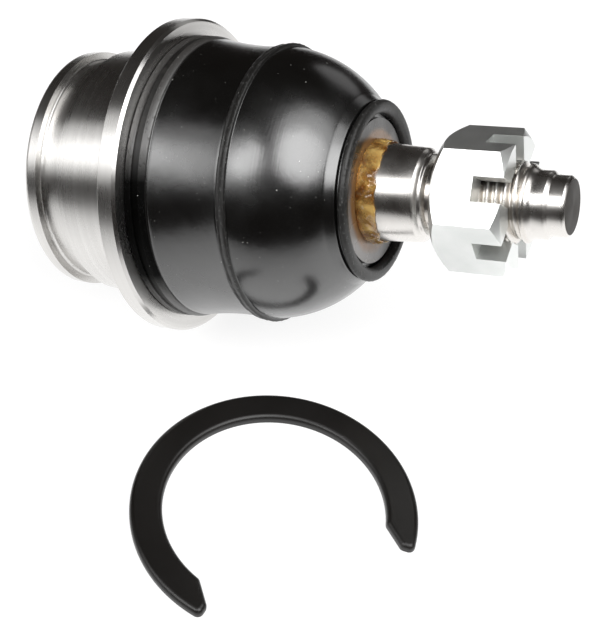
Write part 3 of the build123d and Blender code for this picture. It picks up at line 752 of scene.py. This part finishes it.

# %% [markdown]
# Core and tooth are joined into one object, which then stands for the CAD stud and turns with it. The end
# face is dark, so it gets a rougher finish than the turned sides and a darker colour, partly its own and
# partly painted shade.

# %% Finished stud
bpy.ops.object.select_all(action="DESELECT")
thread.select_set(True)
stud.select_set(True)
bpy.context.view_layer.objects.active = stud
bpy.ops.object.join()
lay_down(stud)
smooth(stud, 35)
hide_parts("ball_stud")
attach(stud, "stud")
ground_steel = Finish("ground_steel", (0.66, 0.64, 0.615), 0.24, metallic=1.0)
ground_steel.brushed(0.4)
place = ground_steel.own_axis()
fine = ground_steel.rings(place, 7000.0, detail=2.0)
clouds = ground_steel.noise(place, 260.0, detail=4.0)
radius, height = ground_steel.radius_and_height(place)
in_thread = ground_steel.math("MULTIPLY", ground_steel.ramp(height, 0.0520, 0.0526),
                              ground_steel.ramp(height, 0.0704, 0.0700))
# Painted shade: the colour is darker in the thread's roots, towards the core.
thread_root_shade = ground_steel.math("MULTIPLY", in_thread, ground_steel.ramp(radius, 0.00690, 0.00630))
bright = ground_steel.mix(thread_root_shade, (0.68, 0.66, 0.635), (0.62, 0.59, 0.55))
# The end face's darker colour is partly its own and partly painted shade.
end_face = ground_steel.math("MULTIPLY", ground_steel.ramp(height, 0.07668, 0.07672),
                             ground_steel.ramp(radius, 0.00475, 0.00465))
ground_steel.set("Base Color", ground_steel.mix(end_face, bright, (0.085, 0.08, 0.075)))
ground_steel.set("Roughness", ground_steel.math(
    "ADD", ground_steel.ramp(clouds, 0.3, 0.7, 0.24, 0.32), ground_steel.math("MULTIPLY", end_face, 0.35)))
ground_steel.bump(fine, 0.000004)
dress(stud, ground_steel)
report(stud)

# %% [markdown]
# The washer in the boot's mouth is smooth and dark. The CAD shape is right, so it only gets its finish: a
# brown stain beside the grease, and painted light, a mask that makes its lower part lighter.

# %% Washer finish
washer_grey = Finish("washer_grey", (0.015, 0.013, 0.011), 0.28, ior=1.55)
place = washer_grey.own_axis()
smear = washer_grey.noise(place, 240.0, detail=3.0)
radius, _ = washer_grey.radius_and_height(place)
edge_of_stain = washer_grey.math("ADD", radius, washer_grey.math("MULTIPLY", smear, 0.0012))
stain = washer_grey.ramp(edge_of_stain, 0.0118, 0.0108)
unstained_and_painted_light = washer_grey.mix(smear, (0.010, 0.009, 0.008), (0.020, 0.017, 0.015))
# Painted light: a mask at a fixed angle round the axis makes the washer's lower part lighter.
unstained_and_painted_light = washer_grey.mix(washer_grey.facing(place, 290, 75, 25), unstained_and_painted_light, (0.16, 0.15, 0.145))
washer_grey.set("Base Color", washer_grey.mix(stain, unstained_and_painted_light, (0.16, 0.085, 0.035)))
washer_grey.set("Roughness", washer_grey.ramp(smear, 0.35, 0.65, 0.22, 0.34))
washer_grey.bump(washer_grey.rings(place, 1800.0), 0.000006)
dress(NODES["boot_washer"], washer_grey)

# %% [markdown]
# Amber grease has been pressed out round the stud. It starts as a torus whose tube is stretched along the
# taper. Two sizes of noise then make its top edge wander and its skin lumpy, and it stands higher on the
# side that faces the camera.

# %% Grease
TAPER_END_R = 8.2
TAPER_END_Z = 51.1
WASHER_TOP_Z = 41.4


def taper_radius(z):
    return TAPER_END_R + (TAPER_END_Z - z) * 0.05


bpy.ops.object.select_all(action="DESELECT")
bpy.ops.mesh.primitive_torus_add(major_segments=220, minor_segments=36,
                                 major_radius=9.0 * MM, minor_radius=1.0 * MM)
grease = bpy.context.object
grease.name = "grease_collar"
for vertex in grease.data.vertices:
    x, y, z = (c / MM for c in vertex.co)
    around = math.atan2(y, x)
    radius = math.hypot(x, y)
    out = radius - 9.0
    towards_camera = 0.5 + 0.5 * math.cos(around - math.radians(235))
    ring = Vector((math.cos(around), math.sin(around), 0))
    wander = noise.noise(ring * 2.3 + Vector((3.1, 0.7, 0))) + 0.5 * noise.noise(ring * 6.5)
    tall = 1.7 + 1.9 * towards_camera + 0.6 * wander
    wide = 0.42 + 0.25 * towards_camera + 0.2 * noise.noise(ring * 4.1 + Vector((0, 5.0, 0)))
    new_z = WASHER_TOP_Z + (z + 1.0) / 2 * tall
    lump = 0.16 * noise.noise(Vector((x, y, z)) * 1.6) + 0.08 * noise.noise(Vector((x, y, z)) * 4.3)
    rising = (z + 1.0) / 2
    inner = taper_radius(new_z) + 0.03
    new_r = inner + (out + 1.0) / 2 * wide * (1 - 0.35 * rising) + max(0.0, out) * lump
    vertex.co = Vector((new_r * ring.x, new_r * ring.y, new_z)) * MM
lay_down(grease)
smooth(grease, 60)
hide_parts("grease_bead")
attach(grease, "boot_mouth")
amber = Finish("amber_grease", (0.62, 0.36, 0.07), 0.16, ior=1.5)
place = amber.own_axis()
depth = amber.noise(place, 330.0, detail=4.0, distortion=0.6)
streak = amber.noise(place, 900.0, detail=3.0)
colour = amber.mix(amber.ramp(depth, 0.35, 0.65), (0.42, 0.17, 0.03), (0.95, 0.66, 0.22))
amber.set("Base Color", amber.mix(amber.ramp(streak, 0.66, 0.76), colour, (0.95, 0.85, 0.62)))
amber.set("Roughness", amber.ramp(streak, 0.3, 0.7, 0.06, 0.2))
amber.set("Transmission Weight", amber.ramp(depth, 0.3, 0.7, 0.85, 0.5))
amber.set("Coat Weight", 0.6)
amber.set("Coat Roughness", 0.06)
amber.bump(amber.math("ADD", depth, amber.math("MULTIPLY", streak, 0.5)), 0.00012, 0.8)
dress(grease, amber)
report(grease)

# %% [markdown]
# The nut is cold formed and zinc plated. The CAD node has the right faces, so a copy of it is merged into
# one closed surface, its flat faces are dissolved to single polygons, and a narrow bevel gives each edge
# the small bright line that plating leaves.

# %% Slotted nut
bpy.ops.object.select_all(action="DESELECT")
nut = NODES["castle_nut"].copy()
nut.data = NODES["castle_nut"].data.copy()
nut.name = "nut_softened"
for key in list(nut.keys()):
    del nut[key]
nut.parent = None
bpy.context.scene.collection.objects.link(nut)
nut.select_set(True)
bpy.context.view_layer.objects.active = nut
bpy.ops.object.mode_set(mode="EDIT")
bpy.ops.mesh.select_all(action="SELECT")
bpy.ops.mesh.remove_doubles(threshold=0.000002)
bpy.ops.mesh.dissolve_limited(angle_limit=math.radians(1.5))
bpy.ops.object.mode_set(mode="OBJECT")
smooth(nut, 20)
soften(nut, 0.13, segments=2, angle=20, keep_flats=True)
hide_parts("castle_nut")
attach(nut, "nut")
zinc = Finish("bright_zinc", (0.80, 0.81, 0.80), 0.26, metallic=1.0)
place = zinc.own_axis()
patch = zinc.noise(place, 210.0, detail=5.0)
pits = zinc.noise(place, 1400.0, detail=3.0)
zinc.set("Base Color", zinc.mix(zinc.ramp(patch, 0.35, 0.7), (0.78, 0.80, 0.785), (0.85, 0.86, 0.85)))
zinc.set("Roughness", zinc.ramp(patch, 0.3, 0.7, 0.38, 0.44))
zinc.bump(pits, 0.0000025)
dress(nut, zinc)
report(nut)

# %% [markdown]
# The snap ring is stamped from spring steel and blackened. Handling has polished its rounded edges, which
# is why they show a satin line. The CAD solid has the rounded edges already.

# %% Snap ring finish
black_oxide = Finish("black_oxide", (0.003, 0.0022, 0.0016), 0.34, ior=1.5)
place = black_oxide.world_axis()
patch = black_oxide.noise(place, 60.0, detail=4.0)
skin = black_oxide.noise(place, 1600.0, detail=3.0)
dust = black_oxide.specks(place, 0.004, 0.00012, 0.5)
ground = black_oxide.mix(patch, (0.0018, 0.0012, 0.0008), (0.0040, 0.0030, 0.0022))
black_oxide.set("Base Color", black_oxide.mix(dust, ground, (0.3, 0.3, 0.28)))
black_oxide.set("Roughness", black_oxide.ramp(patch, 0.3, 0.7, 0.34, 0.42))
black_oxide.bump(skin, 0.000012)
dress(NODES["snap_ring"], black_oxide)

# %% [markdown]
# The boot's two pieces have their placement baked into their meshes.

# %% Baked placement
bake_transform(skirt)
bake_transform(dome)
